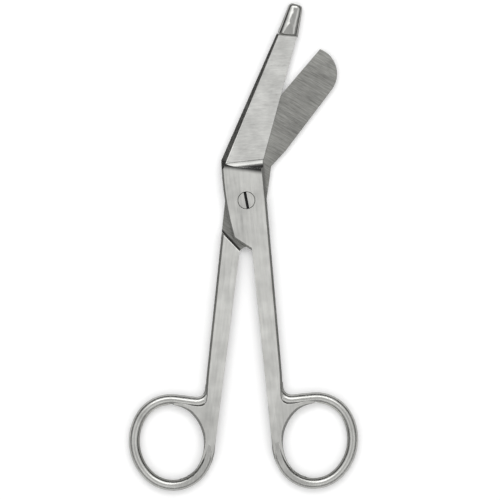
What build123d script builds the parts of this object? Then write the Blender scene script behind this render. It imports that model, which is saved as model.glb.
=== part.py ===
from build123d import *
from math import atan2, cos, degrees, radians, sin, tan
import os

# Bandage scissors lying flat, in millimetres.
# +Z points up out of the face with the screw head, +Y runs to the blade tips.
# The origin is on the pivot axis, on the plane the scissors rest on.
# Each half is drawn closed, with its handle towards +X and its lap face at Z = 0,
# and then turned to its place. Angles in the plan are measured from +Y towards +X.

# Stock and fits
THICKNESS = 4.2
LAP_GAP = 0.04
STOP_GAP = 0.16
HANDLE_GAP = 0.3
TURN_GAP = 0.05
THREAD_GAP = 0.02

# Turn of each half away from closed, in degrees
PROBE_TURN = 5.9
BROAD_TURN = 7.2

# Joint plates
STOP_DISTANCE = 14.42
STOP_ANGLE = 39
STOP_BEVEL = 0.5
STOP_BEVEL_SLOPE = 55
PLATE_CORNER = 6.2
PLATE_CORNER_ROUND = 0.8
PLATE_BEVEL = 0.7
PLATE_BEVEL_DROP = 0.42

# Shanks
SHANK_FOOT = 6.45
SHANK_FOOT_RISE = 9.7
SHANK_BEVEL = 0.85
SHANK_BEVEL_DROP = 0.5

# Finger rings, round bar with ground flats bent to a leaning oval
BAR_RADIUS = 2.0
BAR_THICKNESS = 3.76
BAR_LEAD = 2.0
HOLE_WIDTH = 23.8
HOLE_STRETCH = 4.0
HOLE_FLATNESS = 1.0
RING_LEAN = 15
RING_INSET = -0.1
NECK_ROUND = 3.0
PROBE_RING_DROP = 90.9
BROAD_RING_DROP = 92.2

# Flat web between shank and ring
WEB_LIP = 0.08
WEB_HOLE_BEVEL = 0.9
WEB_HOLE_BEVEL_DROP = 0.6
WEB_ROUND = 13.2
WEB_END_REACH = 9.0
WEB_END_FALL = 4.6
CREASE_DEPTH = 0.7
CREASE_ROUND = 2.2
CREASE_DROP = 0.45
CREASE_FALL = 0.2
RUN_OUT_SLOPE = 4.5
RUN_OUT_HEADING = 160
RUN_OUT_RISE = 3.0
RUN_OUT_LEAD = 6.0

# Grinding of both blades
EDGE_LAND = 0.3
GRIND_ANGLE = 7.5
GRIND_ROUND = 5.0
GRIND_END_ROUND = 0.9

# Probe blade
PROBE_EDGE_X = 7.5
PROBE_EDGE_Y = 13.7
PROBE_EDGE_ANGLE = 21.2
PROBE_HEEL_X = 7.75
PROBE_HEEL_Y = 15.6
PROBE_BACK_ANGLE = 29.5
PROBE_BACK_FOOT = 0.43
PROBE_BACK_SLOPE = 40
PROBE_SIDE = 8.05
PROBE_GRIND_Y = 14.9

# Blunt probe tip
TIP_X = 21.54
TIP_Y = 59.4
TIP_ANGLE = 21.5
TIP_BASE_ANGLE = 10.0
TIP_LENGTH = 11.6
TIP_BASE_WIDTH = 7.6
TIP_END_WIDTH = 5.0
TIP_NOSE = 1.5
TIP_FLATNESS = 0.63
TIP_ROOT = 1.2

# Broad blade
BROAD_EDGE_X = 7.8
BROAD_EDGE_Y = 16.4
BROAD_EDGE_ANGLE = -33.2
BROAD_EDGE_LENGTH = 50.8
BROAD_NECK_X = 12.1
BROAD_NECK_Y = 20.1
BROAD_BACK_ANGLE = -29.9
BROAD_BACK_LENGTH = 28.2
BROAD_SIDE = 7.45
BROAD_HEEL_Y = 13.6
BROAD_GRIND_Y = 16.3

# Pivot screw
HEAD_RADIUS = 3.2
HEAD_DEPTH = 1.1
HEAD_RECESS = 0.08
HEAD_BEVEL = 0.2
SCREW_RADIUS = 1.8
SLOT_WIDTH = 1.0
SLOT_DEPTH = 0.9
SLOT_TURN = 10.9

# Bevel cutters
BEVEL_REACH = 9
BEVEL_LEAD = 0.5

half_thickness = THICKNESS / 2
handle_edge = HANDLE_GAP / 2
lean = radians(RING_LEAN)
reach = BROAD_EDGE_LENGTH

# The hole and the bar's middle line are ovals of two end arcs and two side arcs
hole_length = HOLE_WIDTH + HOLE_STRETCH
end_round = HOLE_WIDTH / 2 - HOLE_FLATNESS
end_offset = HOLE_STRETCH / 2 + HOLE_FLATNESS
side_offset = (end_offset**2 - HOLE_FLATNESS**2) / (2 * HOLE_FLATNESS)
side_round = side_offset + HOLE_WIDTH / 2
side_half = degrees(atan2(end_offset, side_offset))
bar_reach = side_round + BAR_RADIUS - side_offset * cos(lean)
bar_rise = end_offset * cos(lean) + end_round + BAR_RADIUS
ring_x = handle_edge + RING_INSET + BAR_RADIUS + bar_reach


def heading(angle):
    """Unit vector in the plan, leaning from +Y towards +X."""
    return Vector(sin(radians(angle)), cos(radians(angle)))


def stop_edge_y(x):
    """Lower edge of a lap plate, where it meets the other half's shoulder."""
    distance = STOP_DISTANCE - STOP_GAP / 2
    return -(distance + x * sin(radians(STOP_ANGLE))) / cos(radians(STOP_ANGLE))


def shoulder_y(x):
    """Step from the lap face down to the full thickness of the shank."""
    distance = STOP_DISTANCE + STOP_GAP / 2
    return -(distance - x * sin(radians(STOP_ANGLE))) / cos(radians(STOP_ANGLE))


def level_edges(solid, height, plan_edges):
    """Edges of the solid at this height that run over the middles of the given plan edges."""
    found = ShapeList()
    for edge in solid.edges():
        for plan_edge in plan_edges:
            middle = plan_edge @ 0.5
            if edge.distance_to(Vector(middle.X, middle.Y, height)) < 1e-4 and abs((edge % 0.5).Z) < 1e-6:
                found.append(edge)
    return found


def edge_bevel(solid, height, plan_edges, width, drop):
    """Bevel the solid's edges at this height over the given plan edges."""
    rims = level_edges(solid, height, plan_edges)
    face = solid.faces().filter_by(Plane.XY).sort_by_distance(Vector(0, 0, height))
    face = [flat for flat in face if abs(flat.center().Z - height) < 1e-6][0]
    return chamfer(rims, length=width, length2=drop, reference=face)


def run_out(start, angle):
    """Cutter that lets both flats of a web sink away from a point, in a heading of the plan."""
    along = heading(angle)
    top = start + Vector(0, 0, half_thickness)
    section = Plane(origin=top, x_dir=along, z_dir=along.cross(Vector(0, 0, 1)))
    fall = hole_length * tan(radians(RUN_OUT_SLOPE))
    outline = Polyline((0, 0), (hole_length, 0), (hole_length, -fall), close=True)
    wedge = extrude(section * make_face(outline), amount=hole_length, both=True)
    return wedge + mirror(wedge, about=Plane.XY)


def bevel(start, angle, foot, slope, run_back, run_on):
    """Cutter for a bevel that rises at a slope from the foot height to the right of a line."""
    across = Vector(cos(radians(angle)), -sin(radians(angle)))
    section = Plane(origin=start - heading(angle) * run_back, x_dir=across, z_dir=-heading(angle))
    rise = tan(radians(slope))
    low = (-BEVEL_LEAD, foot - BEVEL_LEAD * rise)
    top = foot + BEVEL_REACH * rise
    outline = Polyline(low, (BEVEL_REACH, top), (-BEVEL_LEAD, top), close=True)
    return extrude(section * make_face(outline), amount=-(run_back + run_on))


def far_corners(far_point, far_angle):
    """Two plan corners on the line that ends the work on a blade, at its tip."""
    across = Vector(cos(radians(far_angle)), -sin(radians(far_angle))) * reach
    return [far_point + across, far_point - across]


def end_arc(y, offset, start, size):
    """Arc round one long end of the finger hole, offset outwards."""
    return CenterArc((0, y), end_round + offset, start, size)


def side_arc(x, offset, start, size):
    """Arc along one side of the finger hole, offset outwards."""
    return CenterArc((x, 0), side_round + offset, start, size)


def ring_place(ring_y):
    """Place and lean of a finger ring."""
    return Pos(ring_x, ring_y) * Rot(0, 0, -RING_LEAN)


def hole_arcs(ring_y, offset):
    """The four arcs of the finger hole, offset outwards."""
    arcs = [
        side_arc(-side_offset, offset, -side_half, 2 * side_half),
        end_arc(end_offset, offset, side_half, 180 - 2 * side_half),
        side_arc(side_offset, offset, 180 - side_half, 2 * side_half),
        end_arc(-end_offset, offset, 180 + side_half, 180 - 2 * side_half),
    ]
    return [ring_place(ring_y) * arc for arc in arcs]


def lap_cut(far_point, far_angle):
    """Everything under the lap face, from the shoulder of the shank to the end of the blade."""
    fork = Vector(-handle_edge, shoulder_y(-handle_edge))
    corners = [(-reach, fork.Y), fork, (reach, shoulder_y(reach))]
    region = make_face(Polyline(*corners, *far_corners(far_point, far_angle), close=True))
    return Pos(0, 0, LAP_GAP / 2) * extrude(region, amount=-THICKNESS)


def grind(edge_start, edge_angle, heel_y, far_point, far_angle):
    """Cutter that grinds a blade face down to its edge, with a round shoulder at each end."""
    wall_y = heel_y - GRIND_ROUND
    corners = [(-reach, wall_y), (reach, wall_y), *far_corners(far_point, far_angle)]
    block = extrude(make_face(Polyline(*corners, close=True)), amount=reach, both=True)
    tilt = radians(GRIND_ANGLE)
    turn = radians(edge_angle)
    normal = Vector(cos(turn) * sin(tilt), -sin(turn) * sin(tilt), cos(tilt))
    face = Plane(origin=(edge_start.X, edge_start.Y, EDGE_LAND), z_dir=normal)
    block = split(block, bisect_by=face, keep=Keep.TOP)
    floor = block.faces().sort_by(Axis.Z)[0]
    block = fillet(floor.edges().sort_by(Axis.Y)[0], GRIND_ROUND)
    floor = block.faces().filter_by(lambda f: abs(f.normal_at().dot(normal)) > 0.9999).sort_by(Axis.Z)[0]
    return fillet(floor.edges().sort_by(Axis.Y)[-1], GRIND_END_ROUND)


def flat_part(blade_edges, back_edges, edge_start, ring_y):
    """Blade, plate, shank and web as one flat forging with bevelled outer edges."""
    fork = Vector(handle_edge, stop_edge_y(handle_edge))
    web_start = Vector(handle_edge, ring_y)
    web_arc = JernArc(web_start, (0, -1), WEB_ROUND, 90)
    hook = Vector(SHANK_FOOT - CREASE_DEPTH, ring_y + bar_rise - CREASE_DROP)
    crease_end = Vector(ring_x, hook.Y - CREASE_FALL)
    foot = Vector(SHANK_FOOT, ring_y + bar_rise + SHANK_FOOT_RISE)
    pivot_side = Vector(edge_start.X, 0)
    outer = FilletPolyline(crease_end, hook, foot, pivot_side, edge_start, radius=[CREASE_ROUND, 0, 0])
    inner = Polyline(plate_corner, fork, web_start)
    web_end = Polyline(web_arc @ 1, crease_end + Vector(WEB_END_REACH, -WEB_END_FALL), crease_end)
    handle_edges = [web_arc] + web_end.edges() + inner.edges() + outer.edges()
    outline = make_face(blade_edges + back_edges + handle_edges)
    outline = fillet(outline.vertices().sort_by_distance(plate_corner)[0], PLATE_CORNER_ROUND)
    blank = extrude(outline, amount=half_thickness, both=True)
    for height in (half_thickness, -half_thickness):
        blank = edge_bevel(blank, height, outer.edges(), SHANK_BEVEL, SHANK_BEVEL_DROP)
    blank = edge_bevel(blank, half_thickness, back_edges, PLATE_BEVEL, PLATE_BEVEL_DROP)
    blank -= run_out(web_start + Vector(0, RUN_OUT_RISE), RUN_OUT_HEADING)
    return blank - run_out(crease_end - Vector(RUN_OUT_LEAD, 0), 90)


def hole_cut(ring_y):
    """Finger hole with bevelled rims, as a body to take out of the web."""
    hole = hole_arcs(ring_y, -WEB_LIP)
    block = Pos(ring_x, ring_y) * Box(2 * hole_length, 2 * hole_length, THICKNESS)
    slab = block - extrude(make_face(hole), amount=THICKNESS, both=True)
    for height in (half_thickness, -half_thickness):
        slab = edge_bevel(slab, height, hole, WEB_HOLE_BEVEL, WEB_HOLE_BEVEL_DROP)
    return block - slab


def ring_bar(ring_y):
    """Flattened bar that leaves the shank, turns the corner and runs round the ring."""
    bar_x = SHANK_FOOT - BAR_RADIUS
    bar_y = ring_y + bar_rise
    bend = NECK_ROUND + BAR_RADIUS
    turn = JernArc((bar_x, bar_y + bend), (0, -1), bend, 90)
    oval = end_arc(end_offset, BAR_RADIUS, 90 + RING_LEAN, side_half - 90 - RING_LEAN)
    oval += side_arc(-side_offset, BAR_RADIUS, side_half, -2 * side_half)
    oval += end_arc(-end_offset, BAR_RADIUS, -side_half, 2 * side_half - 180)
    oval += side_arc(side_offset, BAR_RADIUS, 180 + side_half, -side_half)
    path = Line((bar_x, bar_y + bend + BAR_LEAD), turn @ 0) + turn
    path += Line(turn @ 1, (ring_x + end_offset * sin(lean), bar_y))
    path += ring_place(ring_y) * oval
    section = Circle(BAR_RADIUS) & Rectangle(2 * BAR_RADIUS, BAR_THICKNESS)
    return sweep(Plane(origin=path @ 0, x_dir=(1, 0, 0), z_dir=path % 0) * section, path=path)


def blunt_tip():
    """Blunt flattened cone set across the end of the probe blade, with both faces ground flat."""
    base_half = TIP_BASE_WIDTH / 2
    end_corner = (TIP_END_WIDTH / 2, TIP_LENGTH)
    root = [(0, TIP_LENGTH), (0, -TIP_ROOT), (base_half - TIP_ROOT, -TIP_ROOT), (base_half, 0)]
    outline = make_face(Polyline(*root, end_corner, close=True))
    outline = fillet(outline.vertices().sort_by_distance(end_corner)[0], TIP_NOSE)
    cone = scale(revolve(outline, axis=Axis.Y), by=(1, 1, TIP_FLATNESS))
    cone &= Box(reach, reach, THICKNESS)
    return Pos(TIP_X, TIP_Y) * Rot(0, 0, -TIP_ANGLE) * cone


def cut_joint(half, far_point, far_angle):
    """Lap face and bevelled shoulder of the joint."""
    half -= lap_cut(far_point, far_angle)
    start = Vector(0, shoulder_y(0))
    edge_break = bevel(start, 90 - STOP_ANGLE, half_thickness - STOP_BEVEL, STOP_BEVEL_SLOPE, reach, reach)
    return half - mirror(edge_break, about=Plane.XY)


plate_corner = Vector(-PLATE_CORNER, stop_edge_y(-PLATE_CORNER))

# Probe half, with the long blade that ends in a blunt tip
edge_start = Vector(PROBE_EDGE_X, PROBE_EDGE_Y)
heel = Vector(-PROBE_HEEL_X, PROBE_HEEL_Y)
tip_base = Vector(TIP_X, TIP_Y)
tip_along = heading(TIP_BASE_ANGLE)
edge_length = (tip_base - edge_start).dot(tip_along) / heading(PROBE_EDGE_ANGLE).dot(tip_along)
back_length = (tip_base - heel).dot(tip_along) / heading(PROBE_BACK_ANGLE).dot(tip_along)
edge_end = edge_start + heading(PROBE_EDGE_ANGLE) * edge_length
back_end = heel + heading(PROBE_BACK_ANGLE) * back_length
probe_blade = Polyline(edge_start, edge_end, back_end, heel).edges()
probe_side = ThreePointArc(heel, (-PROBE_SIDE, PROBE_HEEL_Y / 2), plate_corner)
probe_half = flat_part(probe_blade, [probe_side], edge_start, -PROBE_RING_DROP)
probe_half -= hole_cut(-PROBE_RING_DROP)
probe_half += ring_bar(-PROBE_RING_DROP)
probe_half -= bevel(heel, PROBE_BACK_ANGLE, PROBE_BACK_FOOT, PROBE_BACK_SLOPE, reach, back_length)
probe_half += blunt_tip()
probe_half = cut_joint(probe_half, tip_base, TIP_BASE_ANGLE)
probe_half -= grind(edge_start, PROBE_EDGE_ANGLE, PROBE_GRIND_Y, tip_base, TIP_BASE_ANGLE)

# Broad half, with the short blade that ends in a large round
edge_start = Vector(BROAD_EDGE_X, BROAD_EDGE_Y)
edge_end = edge_start + heading(BROAD_EDGE_ANGLE) * BROAD_EDGE_LENGTH
neck = Vector(-BROAD_NECK_X, BROAD_NECK_Y)
back_end = neck + heading(BROAD_BACK_ANGLE) * BROAD_BACK_LENGTH
broad_heel = Vector(-BROAD_SIDE, BROAD_HEEL_Y)
broad_blade = [Line(edge_start, edge_end)]
broad_back = [
    TangentArc(back_end, edge_end, tangent=heading(BROAD_BACK_ANGLE)),
    Line(back_end, neck),
    Line(neck, broad_heel),
    ThreePointArc(broad_heel, (-BROAD_SIDE, BROAD_HEEL_Y / 2), plate_corner),
]
blade_end = Vector(0, 2 * reach)
broad_half = flat_part(broad_blade, broad_back, edge_start, -BROAD_RING_DROP)
broad_half -= hole_cut(-BROAD_RING_DROP)
broad_half += ring_bar(-BROAD_RING_DROP)
broad_half = cut_joint(broad_half, blade_end, 0)
broad_half -= grind(edge_start, BROAD_EDGE_ANGLE, BROAD_GRIND_Y, blade_end, 0)

# Pivot screw and the stepped hole it turns in
head_top = half_thickness - HEAD_RECESS
seat = head_top - HEAD_DEPTH
screw_side = [
    (0, -half_thickness),
    (SCREW_RADIUS, -half_thickness),
    (SCREW_RADIUS, seat),
    (HEAD_RADIUS, seat),
    (HEAD_RADIUS, head_top - HEAD_BEVEL),
    (HEAD_RADIUS - HEAD_BEVEL, head_top),
    (0, head_top),
]
pivot_screw = revolve(Plane.XZ * make_face(Polyline(*screw_side, close=True)), axis=Axis.Z)
slot = Box(SLOT_WIDTH, 3 * HEAD_RADIUS, 2 * SLOT_DEPTH)
pivot_screw -= Pos(0, 0, head_top) * Rot(0, 0, SLOT_TURN) * slot

upwards = (Align.CENTER, Align.CENTER, Align.MIN)
probe_half -= Pos(0, 0, seat - LAP_GAP) * Cylinder(HEAD_RADIUS + TURN_GAP, THICKNESS, align=upwards)
probe_half -= Cylinder(SCREW_RADIUS + TURN_GAP, THICKNESS)
broad_half -= Cylinder(SCREW_RADIUS + THREAD_GAP, THICKNESS)

# Turn the halves to the half-open rest position and lay everything on Z = 0
lift = Pos(0, 0, half_thickness)
parts = {
    "probe_half": lift * Rot(0, 0, PROBE_TURN) * probe_half,
    "broad_half": lift * Rot(0, 0, -BROAD_TURN) * Rot(0, 180, 0) * broad_half,
    "pivot_screw": lift * pivot_screw,
}
os.makedirs("parts", exist_ok=True)
for name, part in parts.items():
    export_step(part, f"parts/{name}.step")
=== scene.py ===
"""Looks of a pair of bandage scissors, laid out as a small add-on.

Each piece starts from its node of the CAD frame and gets ground, brushed and polished steel.
"""

import math

import bmesh
import bpy
import numpy as np
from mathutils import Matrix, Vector


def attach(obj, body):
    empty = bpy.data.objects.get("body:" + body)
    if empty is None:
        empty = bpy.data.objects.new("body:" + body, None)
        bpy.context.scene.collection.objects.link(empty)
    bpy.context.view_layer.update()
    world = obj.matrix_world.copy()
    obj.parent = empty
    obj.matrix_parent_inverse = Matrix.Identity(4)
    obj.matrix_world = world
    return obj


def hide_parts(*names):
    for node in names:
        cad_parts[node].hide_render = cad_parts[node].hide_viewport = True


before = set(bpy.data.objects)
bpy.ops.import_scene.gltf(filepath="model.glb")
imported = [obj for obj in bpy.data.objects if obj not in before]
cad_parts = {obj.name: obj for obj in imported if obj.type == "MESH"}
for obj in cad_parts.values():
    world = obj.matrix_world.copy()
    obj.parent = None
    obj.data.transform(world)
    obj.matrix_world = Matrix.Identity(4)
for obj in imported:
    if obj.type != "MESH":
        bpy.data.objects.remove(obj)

bl_info = {
    "name": "Bandage Scissors",
    "version": (1, 0, 0),
    "blender": (4, 5, 0),
    "location": "View3D > Sidebar > Scissors",
    "description": "Dresses the CAD pieces of a pair of bandage scissors in ground steel",
    "category": "Object",
}

# Sizes the looks share with the solids, in metres and degrees, in each half's own frame
THICKNESS = 0.0042
PROBE_TURN = 5.9
BROAD_TURN = -7.2
BLADE_ROOT = 0.0138
HEEL_REACH = 0.0045
SHOULDER_Y = -0.0155
TIP_BASE = (0.02154, 0.0594)
TIP_BASE_LEAN = 10.0
TIP_OVERLAP = 0.0006
RING_TOP = -0.073
PROBE_BAR_Y = -0.0751
BROAD_BAR_Y = -0.0764
BAR_RADIUS = 0.002
RING_END_X = 0.01686
RING_ROUND = 0.0129
RING_END_RISE = 0.4
WEB_END_X = 0.0176
RUN_OUT_X = (0.006, 0.016)
RUN_OUT_Y = -0.085
SHANK_SIDE = 0.0008
SLOT_TURN = 10.9
SLOT_HALF = 0.00052
HEAD_TOP = 0.00195

# How far a face may be off its plane, and how near two points are one
FLAT_SLACK = 0.00002
LAP_SLACK = 0.0001
ROUND_SLACK = 0.000004
WELD = 0.0000005

# How much of a face's normal points up, out or ahead, which tells the faces apart
FLAT_UP = 0.98
LEVEL_UP = 0.9995
RUN_OUT_UP = 0.99
BLADE_UP = 0.97
LAP_UP = 0.99
INNER_UP = 0.8
HEEL_UP = (0.6, 0.99)
HEEL_AHEAD = 0.05
CREASE_UP = (0.855, 0.868)
SHOULDER_UP = (-0.584, -0.564)
SIDE_OUT = 0.5

# Slope in degrees up to which the flats of a ring are shaded as round
RING_CROWN = 32.0

# Brush marks: width and length of the broad and the thin ones, and what they and the clouds do
BROAD_MARK = (0.0009, 0.016)
THIN_MARK = (0.0003, 0.005)
THIN_SHARE = 0.7
MARK_MIDDLE = 0.85
BROAD_RELIEF = 0.6
MARK_ROUGHNESS = 0.22
CLOUD_SCALE = 140.0
CLOUD_DEPTH = 0.7
EDGE_GAIN = 6.0
EDGE_POLISH = 0.12

# Angles of the brush marks to +X
PROBE_GRIND = 2.0
BROAD_GRIND = -30.0
SCREW_GRIND = 100.0

# Brightness of some parts as a share of the tone of their steel; the web, ring and heel shares are painted
# shade, darker copies of one steel
WEB_SHADE_SHARE = 0.92
RING_SHADE_SHARE = 0.85
TIP_SHARE = 0.75
HEEL_SHADE_SHARE = 0.45
SCREW_SHARE = 0.9
# Painted shade: the slot's walls are near black, standing in for the shadow deep in the slot
SLOT_SHADE_TONE = (0.04, 0.04, 0.04)
SLOT_ROUGHNESS = 0.7

# Parts painted lighter or darker, each past a line: heading, start, blur, gain. Most are painted highlights
# and painted shade.
PLATE_PATCHES = (
    # the flats darker by a tenth from the shank up to the plate
    (0.0, -0.03, 0.02, 0.9),
    # painted shadow on the plate's top, under the heel's highlight
    (7.8, 0.0099, 0.0019, 0.06),
)
BACK_EDGE_LIGHT_AND_SHADE = (
    # a thin painted dark line, then a painted highlight line along the blade's bevelled back
    (291.9, 0.01155, 0.0001, 0.85),
    (291.9, 0.0117, 0.0001, 1.18),
    (291.9, 0.0119, 0.0001, 1.25),
)
SHOULDER_HIGHLIGHT = (
    # a painted highlight line along the edge of the shoulder
    (226.2, 0.0147, 0.0001, 1.5),
    (226.2, 0.015, 0.0002, 0.67),
)
LAP_LIGHT_AND_SHADE = (
    # lighter towards the blade's tip
    (29.0, 0.0545, 0.0006, 1.12),
    # painted shade over the recessed lap beside the front plate
    (180.0, -0.006, 0.004, 0.88),
    # a painted shadow band along the shoulder
    (227.3, 0.0136, 0.0004, 0.25),
)
# Painted shade: the ring holes' sides stay dark below and turn lighter towards the top
RING_HOLE_SHADE = ((0.0, -0.087, 0.008, 1.7),)

# Light of the sky by the height of the direction, from the horizon to straight up
SKY = ((0.0, 0.3), (0.5, 0.3), (0.6, 0.4), (0.7, 1.0), (0.8, 1.0), (0.9, 0.6), (1.0, 0.55))

# How far to the sides, back and down a direction meets the dark flags behind the blades
FLAG_LEAN = (0.6, 0.9, -1.5)
FLAG_SPREAD = (0.05, 0.2)
FLAG_LEVEL = 0.25

# Reach of the floor, and size and place of the soft box
FLOOR_REACH = 3.0
BOX_SIZE = (0.9, 0.5)
BOX_PLACE = (0.0, 0.53, 0.85)
SENSOR = 36.0

# Finishes of a half, in the order of its material slots
ZONES = ("flat", "web", "edge", "ring", "inner", "blade", "lap", "heel", "crease", "shoulder", "tip")


class ScissorsSteel(bpy.types.PropertyGroup):
    """Finish of the steel."""

    tone: bpy.props.FloatVectorProperty(
        name="Tone", description="Colour of the satin flats", subtype="COLOR", size=3,
        default=(0.53, 0.53, 0.51), min=0.0, max=1.0)
    inner_tone: bpy.props.FloatVectorProperty(
        name="Inner tone", description="Colour of the lap faces inside the joint and the blades",
        subtype="COLOR", size=3, default=(0.25, 0.25, 0.236), min=0.0, max=1.0)
    blade_tone: bpy.props.FloatVectorProperty(
        name="Blade tone", description="Colour of the cross-ground blade faces", subtype="COLOR", size=3,
        default=(0.6, 0.6, 0.58), min=0.0, max=1.0)
    # Painted shade: the crease beside each ring is coloured near black, standing in for the shade the bar
    # casts there
    crease_shade_tone: bpy.props.FloatVectorProperty(
        name="Crease tone", description="Colour of the unpolished crease beside each ring", subtype="COLOR",
        size=3, default=(0.1, 0.1, 0.095), min=0.0, max=1.0)
    # Painted shade: the bevelled edges, the ring holes' sides and the shoulder take this dark tone in place
    # of the dark reflections there
    edge_shade_tone: bpy.props.FloatVectorProperty(
        name="Edge tone", description="Colour of the bevelled edges", subtype="COLOR", size=3,
        default=(0.3, 0.3, 0.285), min=0.0, max=1.0)
    satin: bpy.props.FloatProperty(
        name="Satin", description="Roughness of the brushed flats", default=0.36, min=0.0, max=1.0,
        subtype="FACTOR")
    polish: bpy.props.FloatProperty(
        name="Polish", description="Roughness of the finger rings and the probe tip", default=0.15,
        min=0.0, max=1.0, subtype="FACTOR")
    grain: bpy.props.FloatProperty(
        name="Grain depth", description="Depth of the brush marks", default=0.000004, min=0.0,
        unit="LENGTH", precision=6)
    edge: bpy.props.FloatProperty(
        name="Edge round", description="Radius that worn edges are rounded to", default=0.0002,
        min=0.0, unit="LENGTH", precision=5)


class ScissorsStage(bpy.types.PropertyGroup):
    """Camera, light and floor."""

    height: bpy.props.FloatProperty(
        name="Camera height", description="Height of the camera over the floor", default=2.0,
        min=0.5, unit="LENGTH")
    width: bpy.props.FloatProperty(
        name="Picture width", description="Width of floor the picture shows", default=0.185,
        min=0.05, unit="LENGTH")
    centre: bpy.props.FloatVectorProperty(
        name="Picture centre", description="Point of the floor in the middle of the picture", size=2,
        default=(0.00133, -0.01835), unit="LENGTH")
    sky: bpy.props.FloatProperty(
        name="Sky", description="Strength of the soft light overhead", default=1.45, min=0.0)
    key: bpy.props.FloatProperty(
        name="Key light", description="Power of the soft box behind the blades", default=2.4,
        min=0.0, unit="POWER")
    floor_tone: bpy.props.FloatProperty(
        name="Floor tone", description="Brightness of the floor", default=0.96, min=0.0, max=1.0)
    floor_glow: bpy.props.FloatProperty(
        name="Floor glow", description="What the floor still needs to be seen as white", default=0.12,
        min=0.0, max=1.0)


def node(tree, kind, **values):
    """Add a shader node; names with an underscore in front set inputs."""
    made = tree.nodes.new(kind)
    for key, value in values.items():
        if key.startswith("_"):
            made.inputs[key[1:].replace("_", " ")].default_value = value
        else:
            setattr(made, key, value)
    return made


def maths(tree, operation, a, b, clamp=False):
    """Maths node on two values, each a socket or a number."""
    made = node(tree, "ShaderNodeMath", operation=operation, use_clamp=clamp)
    for socket, value in zip(made.inputs, (a, b)):
        if isinstance(value, (int, float)):
            socket.default_value = value
        else:
            tree.links.new(value, socket)
    return made.outputs[0]


def streaks(tree, place, angle, across, along, detail):
    """Noise drawn out along the brush marks, which lie at an angle to +X."""
    turn = node(tree, "ShaderNodeMapping", vector_type="TEXTURE")
    turn.inputs["Rotation"].default_value = (0, 0, math.radians(angle))
    stretch = node(tree, "ShaderNodeMapping", vector_type="POINT")
    stretch.inputs["Scale"].default_value = (1 / along, 1 / across, 1 / across)
    noise = node(tree, "ShaderNodeTexNoise", _Scale=1.0, _Detail=detail, _Roughness=0.6)
    tree.links.new(place, turn.inputs["Vector"])
    tree.links.new(turn.outputs[0], stretch.inputs["Vector"])
    tree.links.new(stretch.outputs[0], noise.inputs["Vector"])
    return noise.outputs["Fac"]


def beyond(tree, place, heading, start, blur):
    """Rises from 0 to 1 past a line, where heading leans from +Y towards +X."""
    lean = math.radians(heading)
    ahead = node(tree, "ShaderNodeVectorMath", operation="DOT_PRODUCT")
    ahead.inputs[1].default_value = (math.sin(lean), math.cos(lean), 0.0)
    tree.links.new(place, ahead.inputs[0])
    step = node(tree, "ShaderNodeMapRange", interpolation_type="SMOOTHSTEP")
    step.inputs["From Min"].default_value = start
    step.inputs["From Max"].default_value = start + blur
    tree.links.new(ahead.outputs["Value"], step.inputs["Value"])
    return step.outputs["Result"]


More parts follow.
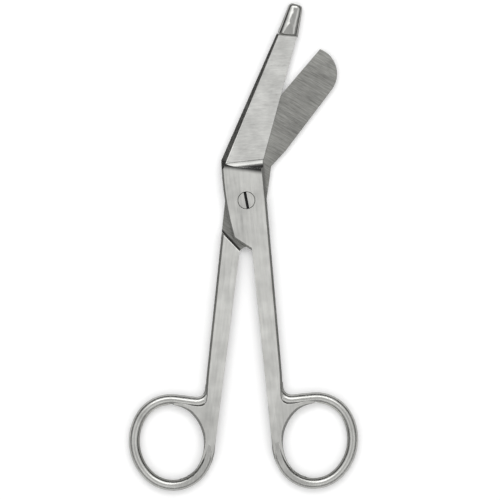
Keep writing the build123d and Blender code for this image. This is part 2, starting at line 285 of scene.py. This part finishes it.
def steel(name, tone, roughness, angle, streak=0.3, pitch=1.0, pull=0.5, fine=1.0, rim=1.0, worn=1.0,
          patches=()):
    """Ground steel whose brush marks lie at an angle to +X, with softly worn edges.

    The pitch widens the marks, the rim darkens what is seen at a slant, and worn widens the rounding of
    the edges. Each patch is (heading, start, blur, gain) of a part painted lighter or darker past a line,
    mostly a painted highlight or painted shade.
    """
    look = bpy.context.scene.scissors_steel
    material = bpy.data.materials.new(name)
    material.use_nodes = True
    tree = material.node_tree
    tree.nodes.clear()
    link = tree.links.new
    place = node(tree, "ShaderNodeTexCoord").outputs["Object"]
    broad = streaks(tree, place, angle, BROAD_MARK[0] * pitch, BROAD_MARK[1] * pitch, 3.0)
    thin = streaks(tree, place, angle, THIN_MARK[0] * pitch, THIN_MARK[1] * pitch, 4.0)
    clouds = node(tree, "ShaderNodeTexNoise", _Scale=CLOUD_SCALE, _Detail=3.0)
    link(place, clouds.inputs["Vector"])

    rounded = node(tree, "ShaderNodeBevel", samples=6, _Radius=look.edge * worn)
    flat = node(tree, "ShaderNodeNewGeometry").outputs["Normal"]
    facing = node(tree, "ShaderNodeVectorMath", operation="DOT_PRODUCT")
    link(rounded.outputs[0], facing.inputs[0])
    link(flat, facing.inputs[1])
    edge = maths(tree, "SUBTRACT", 1.0, facing.outputs["Value"])
    edge = maths(tree, "MULTIPLY", edge, EDGE_GAIN, True)

    bump = node(tree, "ShaderNodeBump", _Strength=fine, _Distance=look.grain)
    link(maths(tree, "ADD", thin, maths(tree, "MULTIPLY", broad, BROAD_RELIEF)), bump.inputs["Height"])
    link(rounded.outputs[0], bump.inputs["Normal"])

    mark = maths(tree, "ADD", broad, maths(tree, "MULTIPLY", thin, THIN_SHARE))
    mark = maths(tree, "SUBTRACT", mark, MARK_MIDDLE)
    cloud = maths(tree, "SUBTRACT", clouds.outputs["Fac"], 0.5)
    shade = maths(tree, "ADD", 1.0, maths(tree, "MULTIPLY", mark, streak))
    shade = maths(tree, "ADD", shade, maths(tree, "MULTIPLY", cloud, CLOUD_DEPTH))
    # Patches paint light and shade into the colour past a line: painted highlights and painted shade
    for heading, start, blur, gain in patches:
        change = maths(tree, "MULTIPLY", beyond(tree, place, heading, start, blur), gain - 1.0)
        shade = maths(tree, "MULTIPLY", shade, maths(tree, "ADD", change, 1.0))
    colour = node(tree, "ShaderNodeVectorMath", operation="SCALE")
    colour.inputs[0].default_value = tone
    link(shade, colour.inputs["Scale"])
    rough = maths(tree, "ADD", roughness, maths(tree, "MULTIPLY", mark, MARK_ROUGHNESS))
    rough = maths(tree, "SUBTRACT", rough, maths(tree, "MULTIPLY", edge, EDGE_POLISH), True)

    grain = node(tree, "ShaderNodeVectorTransform", vector_type="VECTOR", convert_from="OBJECT",
                 convert_to="WORLD")
    turn = math.radians(angle)
    grain.inputs[0].default_value = (math.cos(turn), math.sin(turn), 0.0)

    metal = node(tree, "ShaderNodeBsdfPrincipled", _Metallic=1.0, _Anisotropic=pull)
    metal.inputs["Specular Tint"].default_value = (rim, rim, rim, 1.0)
    link(colour.outputs[0], metal.inputs["Base Color"])
    link(rough, metal.inputs["Roughness"])
    link(bump.outputs[0], metal.inputs["Normal"])
    link(grain.outputs[0], metal.inputs["Tangent"])
    output = node(tree, "ShaderNodeOutputMaterial")
    link(metal.outputs[0], output.inputs["Surface"])
    return material


def set_normals(mesh):
    """Shade a mesh with the normals that its corners carry."""
    normals = np.empty(len(mesh.loops) * 3, dtype=np.float32)
    mesh.attributes["cad_normal"].data.foreach_get("vector", normals)
    mesh.attributes.remove(mesh.attributes["cad_normal"])
    mesh.polygons.foreach_set("use_smooth", [True] * len(mesh.polygons))
    mesh.normals_split_custom_set(normals.reshape(-1, 3).tolist())


def welded_copy(source, name):
    """Copy of a CAD node as a piece, welded, with the node's own normals."""
    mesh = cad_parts[source].data.copy()
    mesh.name = name
    mesh.materials.clear()
    kept = mesh.attributes.new("cad_normal", "FLOAT_VECTOR", "CORNER")
    normals = np.array([tuple(n.vector) for n in mesh.corner_normals], dtype=np.float32)
    kept.data.foreach_set("vector", normals.ravel())
    work = bmesh.new()
    work.from_mesh(mesh)
    bmesh.ops.remove_doubles(work, verts=work.verts, dist=WELD)
    work.to_mesh(mesh)
    work.free()
    set_normals(mesh)
    piece = bpy.data.objects.new(name, mesh)
    bpy.context.scene.collection.objects.link(piece)
    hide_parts(source)
    return piece


def own_frame(turn, flip):
    """Matrix that turns row vectors of a half back: its shank along -Y, its ring on +X."""
    a = math.radians(turn)
    spin = np.array([[math.cos(a), -math.sin(a), 0], [math.sin(a), math.cos(a), 0], [0, 0, 1]])
    return spin * [flip, 1, flip]


def face_places(mesh, frame_of_half):
    """Middles and normals of the faces of a piece in its own frame, whose lap plane is at no height."""
    middles = np.empty(len(mesh.polygons) * 3)
    normals = np.empty(len(mesh.polygons) * 3)
    mesh.polygons.foreach_get("center", middles)
    mesh.polygons.foreach_get("normal", normals)
    middles[2::3] -= THICKNESS / 2
    return middles.reshape(-1, 3) @ frame_of_half, normals.reshape(-1, 3) @ frame_of_half


def corner_places(mesh, frame_of_half):
    """Vertices and corner normals of a half in its own frame, and the vertex of each corner."""
    places = np.empty(len(mesh.vertices) * 3)
    corner = np.empty(len(mesh.loops), dtype=np.int32)
    mesh.vertices.foreach_get("co", places)
    mesh.loops.foreach_get("vertex_index", corner)
    places[2::3] -= THICKNESS / 2
    normals = np.array([tuple(n.vector) for n in mesh.corner_normals])
    return places.reshape(-1, 3) @ frame_of_half, normals @ frame_of_half, corner


def ring_round(places, bar_y):
    """The round of a ring's top at places: which way it faces, how far out they are, which are inside."""
    arm = places[:, :2] - [RING_END_X, bar_y - RING_ROUND]
    reach = np.linalg.norm(arm, axis=1)
    off = np.column_stack([arm * (1 - RING_ROUND / reach)[:, None], places[:, 2]])
    span = np.linalg.norm(off, axis=1)
    inner = (arm[:, 1] > RING_END_RISE * reach) & (reach < RING_ROUND)
    return off / span[:, None], span, inner


def fair_web_end(mesh, frame_of_half, bar_y):
    """Take the thin end of the web off over the finger hole, and close the round of the ring there."""
    places, normals, _ = corner_places(mesh, frame_of_half)
    _, span, inner = ring_round(places, bar_y)
    proud = inner & (places[:, 0] > WEB_END_X) & (span > BAR_RADIUS + ROUND_SLACK)
    kept = mesh.attributes.new("cad_normal", "FLOAT_VECTOR", "CORNER")
    kept.data.foreach_set("vector", (normals @ frame_of_half.T).ravel().astype(np.float32))
    work = bmesh.new()
    work.from_mesh(mesh)
    work.verts.ensure_lookup_table()
    bmesh.ops.delete(work, geom=[work.verts[i] for i in np.nonzero(proud)[0]], context="VERTS")
    rims = [edge for edge in work.edges if edge.is_boundary]
    closed = bmesh.ops.holes_fill(work, edges=rims, sides=0)["faces"]
    closed = bmesh.ops.triangulate(work, faces=closed)["faces"]
    layer = work.loops.layers.float_vector["cad_normal"]
    for face in closed:
        around = np.array([vert.co for vert in face.verts]) - [0, 0, THICKNESS / 2]
        facing = ring_round(around @ frame_of_half, bar_y)[0] @ frame_of_half.T
        face.normal_update()
        if face.normal.dot(Vector(facing.sum(axis=0))) < 0:
            face.normal_flip()
        toward = dict(zip(face.verts, facing))
        for loop in face.loops:
            loop[layer] = toward[loop.vert]
    work.to_mesh(mesh)
    work.free()
    set_normals(mesh)


def dress(piece, materials, choice):
    """Give the piece its materials and each face its choice of them."""
    for material in materials:
        piece.data.materials.append(material)
    piece.data.polygons.foreach_set("material_index", choice.astype(np.int32))
    piece.data.update()


def half_zones(mesh, frame_of_half, bar_y, probe):
    """Finish of each face of a half, as its place in ZONES."""
    middle, normal = face_places(mesh, frame_of_half)
    x, y, z = middle.T
    out, on, up = normal.T
    level = np.abs(up)
    flat = (level > FLAT_UP) & (np.abs(z) > THICKNESS / 2 - FLAT_SLACK)
    handle = y < RING_TOP
    low = middle[handle & ~flat, :2].min(axis=0)
    high = middle[handle & ~flat, :2].max(axis=0)
    inward = (normal[:, :2] * ((low + high) / 2 - middle[:, :2])).sum(axis=1) > 0
    run_out = (level > RUN_OUT_UP) & (level < LEVEL_UP)
    crease = (y < bar_y) & (level > CREASE_UP[0]) & (level < CREASE_UP[1]) & (on > 0)
    heel = (np.abs(y - BLADE_ROOT) < HEEL_REACH) & (up > HEEL_UP[0]) & (up < HEEL_UP[1])
    shoulder = (np.abs(y - SHOULDER_Y) < HEEL_REACH) & (up > SHOULDER_UP[0]) & (up < SHOULDER_UP[1])
    lean = math.radians(TIP_BASE_LEAN)
    ahead = (x - TIP_BASE[0]) * math.sin(lean) + (y - TIP_BASE[1]) * math.cos(lean)
    zone = np.full(len(middle), ZONES.index("edge"))
    zone[flat] = ZONES.index("flat")
    zone[handle & ~flat] = ZONES.index("ring")
    zone[handle & (flat | run_out)] = ZONES.index("web")
    zone[handle & inward & (level < INNER_UP)] = ZONES.index("inner")
    zone[handle & (x < SHANK_SIDE) & (out < -SIDE_OUT)] = ZONES.index("edge")
    zone[(up > BLADE_UP) & (y > BLADE_ROOT) & ~flat] = ZONES.index("blade")
    zone[(up < -LAP_UP) & (np.abs(z) < LAP_SLACK)] = ZONES.index("lap")
    zone[heel & (on > HEEL_AHEAD)] = ZONES.index("heel")
    zone[crease] = ZONES.index("crease")
    zone[shoulder] = ZONES.index("shoulder")
    if probe:
        zone[ahead > -TIP_OVERLAP] = ZONES.index("tip")
    return zone


def crown_ring(mesh, zone, frame_of_half):
    """Shade the narrow flats of the finger ring as if they were as round as its sides.

    The crown fades out below, where the ring runs out into the shank.
    """
    places, normals, corner = corner_places(mesh, frame_of_half)
    x, y, _ = places[corner].T
    ring = np.repeat((zone == ZONES.index("ring")) | (zone == ZONES.index("inner")), 3)
    level = np.abs(normals[:, 2]) > LEVEL_UP
    side = ring & ~level
    total = np.zeros((len(mesh.vertices), 3))
    np.add.at(total, corner[side], normals[side])
    mean = (total / np.linalg.norm(total, axis=1, keepdims=True).clip(1e-9))[corner]
    near = (normals * mean).sum(axis=1) > math.cos(math.radians(RING_CROWN))
    run_in = np.clip((x - RUN_OUT_X[0]) / (RUN_OUT_X[1] - RUN_OUT_X[0]), 0, 1)
    share = np.where(y > RUN_OUT_Y, 1, run_in)[:, None]
    crowned = normals * (1 - share) + mean * share
    change = ring & level & near
    normals[change] = crowned[change] / np.linalg.norm(crowned[change], axis=1, keepdims=True)
    mesh.normals_split_custom_set((normals @ frame_of_half.T).tolist())


def toned(tone, share):
    """A share of a tone's brightness."""
    return [share * level for level in tone]


def half_steels(half, along, grind, flat=(), blade=(), lap=()):
    """Finishes of a half in the order of ZONES.

    The grind is the angle of the marks on its blade, and flat, blade and lap are patches there, which
    paint highlights and shade into the colour.
    """
    look = bpy.context.scene.scissors_steel
    satin, polish = look.satin, look.polish
    # Painted shade: the web, ring and heel get darker copies of their steel, the heel's toning down its
    # highlight from the soft box
    web_shade_tone = toned(look.tone, WEB_SHADE_SHARE)
    ring_shade_tone = toned(look.tone, RING_SHADE_SHARE)
    tip_tone = toned(look.tone, TIP_SHARE)
    heel_shade_tone = toned(look.blade_tone, HEEL_SHADE_SHARE)
    soft = dict(streak=0.1, pull=0.0, fine=0.3)
    made = {
        "flat": steel(half + "_flat", look.tone, satin, along, worn=0.6, patches=flat),
        "web": steel(half + "_web", web_shade_tone, satin, along, worn=3.0),
        # Painted shade: edge, inner and shoulder take the dark shade tone, and the inner's patch lightens
        # the holes' sides towards the top
        "edge": steel(half + "_edge", look.edge_shade_tone, satin - 0.1, along, streak=0.1, rim=0.3),
        "ring": steel(half + "_ring", ring_shade_tone, polish + 0.1, along, rim=0.6, **soft),
        "inner": steel(half + "_inner", look.edge_shade_tone, polish + 0.1, along, rim=0.3, patches=RING_HOLE_SHADE,
                       **soft),
        "blade": steel(half + "_blade", look.blade_tone, satin - 0.02, grind, streak=0.5, pitch=0.6,
                       patches=blade),
        "lap": steel(half + "_lap", look.inner_tone, satin, grind, streak=1.4, pitch=0.4, patches=lap),
        "heel": steel(half + "_heel", heel_shade_tone, polish, grind, streak=0.4, pitch=0.5, pull=0.0, fine=0.3),
        # Painted shade in the crease beside each ring
        "crease": steel(half + "_crease", look.crease_shade_tone, satin, along, rim=0.3, **soft),
        "shoulder": steel(half + "_shoulder", look.edge_shade_tone, satin, along),
        "tip": steel(half + "_tip", tip_tone, polish - 0.03, along, rim=0.2, worn=2.0, **soft),
    }
    return [made[zone] for zone in ZONES]


class ScissorsProbeHalf(bpy.types.Operator):
    """Dress the front half: probe blade, lap plate, shank and finger ring"""

    bl_idname = "scissors.probe_half"
    bl_label = "Probe half"

    def execute(self, context):
        piece = welded_copy("probe_half", "probe_half_steel")
        own = own_frame(PROBE_TURN, 1)
        fair_web_end(piece.data, own, PROBE_BAR_Y)
        zone = half_zones(piece.data, own, PROBE_BAR_Y, True)
        crown_ring(piece.data, zone, own)
        # The probe blade's back edge gets a painted highlight and a painted dark line
        steels = half_steels("probe", 90 + PROBE_TURN, PROBE_GRIND, flat=PLATE_PATCHES, blade=BACK_EDGE_LIGHT_AND_SHADE)
        dress(piece, steels, zone)
        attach(piece, "front")
        return {"FINISHED"}


class ScissorsBroadHalf(bpy.types.Operator):
    """Dress the rear half: broad blade, lap plate, shank and finger ring"""

    bl_idname = "scissors.broad_half"
    bl_label = "Broad half"

    def execute(self, context):
        piece = welded_copy("broad_half", "broad_half_steel")
        own = own_frame(BROAD_TURN, -1)
        fair_web_end(piece.data, own, BROAD_BAR_Y)
        zone = half_zones(piece.data, own, BROAD_BAR_Y, False)
        crown_ring(piece.data, zone, own)
        # The broad half gets a painted highlight along its shoulder and painted shade on its lap
        steels = half_steels("broad", 90 + BROAD_TURN, BROAD_GRIND, flat=SHOULDER_HIGHLIGHT, lap=LAP_LIGHT_AND_SHADE)
        dress(piece, steels, zone)
        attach(piece, "rear")
        return {"FINISHED"}


class ScissorsPivotScrew(bpy.types.Operator):
    """Dress the slotted pivot screw"""

    bl_idname = "scissors.pivot_screw"
    bl_label = "Pivot screw"

    def execute(self, context):
        look = context.scene.scissors_steel
        piece = welded_copy("pivot_screw", "pivot_screw_steel")
        materials = [
            steel("screw_steel", toned(look.tone, SCREW_SHARE), look.satin, SCREW_GRIND, worn=0.4),
            # The slot's walls take painted shade
            steel("screw_slot", SLOT_SHADE_TONE, SLOT_ROUGHNESS, SCREW_GRIND, pull=0.0),
        ]
        middle, _ = face_places(piece.data, own_frame(SLOT_TURN, 1))
        x, _, z = middle.T
        cut = (np.abs(x) < SLOT_HALF) & (z > 0) & (z < HEAD_TOP)
        dress(piece, materials, cut.astype(np.int32))
        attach(piece, "rear")
        return {"FINISHED"}


def floor_material(tone, glow):
    """Plain pale floor that shades like paper and reads as white."""
    material = bpy.data.materials.new("pale_floor")
    material.use_nodes = True
    tree = material.node_tree
    tree.nodes.clear()
    paper = node(tree, "ShaderNodeBsdfDiffuse", _Color=(tone, tone, tone, 1.0))
    ray = node(tree, "ShaderNodeLightPath")
    seen = maths(tree, "MAXIMUM", ray.outputs["Is Camera Ray"], ray.outputs["Is Glossy Ray"])
    seen = maths(tree, "MAXIMUM", seen, ray.outputs["Is Transmission Ray"])
    lift = node(tree, "ShaderNodeEmission")
    tree.links.new(maths(tree, "MULTIPLY", seen, glow), lift.inputs["Strength"])
    both = node(tree, "ShaderNodeAddShader")
    tree.links.new(paper.outputs[0], both.inputs[0])
    tree.links.new(lift.outputs[0], both.inputs[1])
    output = node(tree, "ShaderNodeOutputMaterial")
    tree.links.new(both.outputs[0], output.inputs["Surface"])
    return material


def sky_world(strength):
    """Soft light overhead that falls off towards the horizon, with dark flags behind the blades."""
    world = bpy.data.worlds.new("studio")
    world.use_nodes = True
    tree = world.node_tree
    tree.nodes.clear()
    place = node(tree, "ShaderNodeTexCoord").outputs["Generated"]
    split = node(tree, "ShaderNodeSeparateXYZ")
    tree.links.new(place, split.inputs[0])
    ramp = node(tree, "ShaderNodeValToRGB")
    ramp.color_ramp.interpolation = "EASE"
    stops = ramp.color_ramp.elements
    while len(stops) < len(SKY):
        stops.new(1.0)
    for stop, (height, level) in zip(stops, SKY):
        stop.position = height
        stop.color = (level, level, level, 1.0)
    tree.links.new(split.outputs["Z"], ramp.inputs["Fac"])
    flag = node(tree, "ShaderNodeMapRange", interpolation_type="SMOOTHSTEP")
    flag.inputs["From Min"].default_value = FLAG_SPREAD[0]
    flag.inputs["From Max"].default_value = FLAG_SPREAD[1]
    flag.inputs["To Min"].default_value = strength
    flag.inputs["To Max"].default_value = strength * FLAG_LEVEL
    folded = node(tree, "ShaderNodeCombineXYZ")
    tree.links.new(maths(tree, "ABSOLUTE", split.outputs["X"], 0.0), folded.inputs["X"])
    tree.links.new(split.outputs["Y"], folded.inputs["Y"])
    tree.links.new(split.outputs["Z"], folded.inputs["Z"])
    lean = node(tree, "ShaderNodeVectorMath", operation="DOT_PRODUCT")
    lean.inputs[1].default_value = FLAG_LEAN
    tree.links.new(folded.outputs[0], lean.inputs[0])
    tree.links.new(lean.outputs["Value"], flag.inputs["Value"])
    back = node(tree, "ShaderNodeBackground")
    tree.links.new(flag.outputs["Result"], back.inputs["Strength"])
    tree.links.new(ramp.outputs["Color"], back.inputs["Color"])
    output = node(tree, "ShaderNodeOutputWorld")
    tree.links.new(back.outputs[0], output.inputs["Surface"])
    return world


class ScissorsStudio(bpy.types.Operator):
    """Set the floor, the light and the camera"""

    bl_idname = "scissors.studio"
    bl_label = "Studio"

    def execute(self, context):
        scene = context.scene
        stage = scene.scissors_stage
        mesh = bpy.data.meshes.new("floor")
        corners = [(x * FLOOR_REACH, y * FLOOR_REACH, 0) for x, y in ((-1, -1), (1, -1), (1, 1), (-1, 1))]
        mesh.from_pydata(corners, [], [(0, 1, 2, 3)])
        mesh.materials.append(floor_material(stage.floor_tone, stage.floor_glow))
        floor = bpy.data.objects.new("floor", mesh)
        scene.collection.objects.link(floor)

        scene.world = sky_world(stage.sky)
        lamp = bpy.data.lights.new("soft_box", "AREA")
        lamp.shape = "RECTANGLE"
        lamp.size, lamp.size_y = BOX_SIZE
        lamp.energy = stage.key
        box = bpy.data.objects.new("soft_box", lamp)
        box.location = BOX_PLACE
        box.rotation_euler = (-box.location).to_track_quat("-Z", "Y").to_euler()
        scene.collection.objects.link(box)

        lens = bpy.data.cameras.new("camera")
        lens.sensor_width = SENSOR
        lens.lens = SENSOR * stage.height / stage.width
        lens.clip_end = 20.0
        camera = bpy.data.objects.new("camera", lens)
        camera.location = (stage.centre[0], stage.centre[1], stage.height)
        scene.collection.objects.link(camera)
        scene.camera = camera
        scene.view_settings.view_transform = "Standard"
        return {"FINISHED"}


class ScissorsPanel(bpy.types.Panel):
    """Settings and steps in the 3D view's sidebar."""

    bl_idname = "VIEW3D_PT_scissors"
    bl_label = "Bandage Scissors"
    bl_space_type = "VIEW_3D"
    bl_region_type = "UI"
    bl_category = "Scissors"

    def draw(self, context):
        for group in (context.scene.scissors_steel, context.scene.scissors_stage):
            box = self.layout.box()
            for name in group.__annotations__:
                box.prop(group, name)
        for step in STEPS:
            self.layout.operator(step.bl_idname)


GROUPS = (ScissorsSteel, ScissorsStage)
STEPS = (ScissorsProbeHalf, ScissorsBroadHalf, ScissorsPivotScrew, ScissorsStudio)


def register():
    for kind in (*GROUPS, *STEPS, ScissorsPanel):
        bpy.utils.register_class(kind)
    bpy.types.Scene.scissors_steel = bpy.props.PointerProperty(type=ScissorsSteel)
    bpy.types.Scene.scissors_stage = bpy.props.PointerProperty(type=ScissorsStage)


def unregister():
    del bpy.types.Scene.scissors_stage
    del bpy.types.Scene.scissors_steel
    for kind in reversed((*GROUPS, *STEPS, ScissorsPanel)):
        bpy.utils.unregister_class(kind)


def main():
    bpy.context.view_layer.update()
    register()
    bpy.ops.scissors.probe_half()
    bpy.ops.scissors.broad_half()
    bpy.ops.scissors.pivot_screw()
    bpy.ops.scissors.studio()


if __name__ == "__main__":
    main()
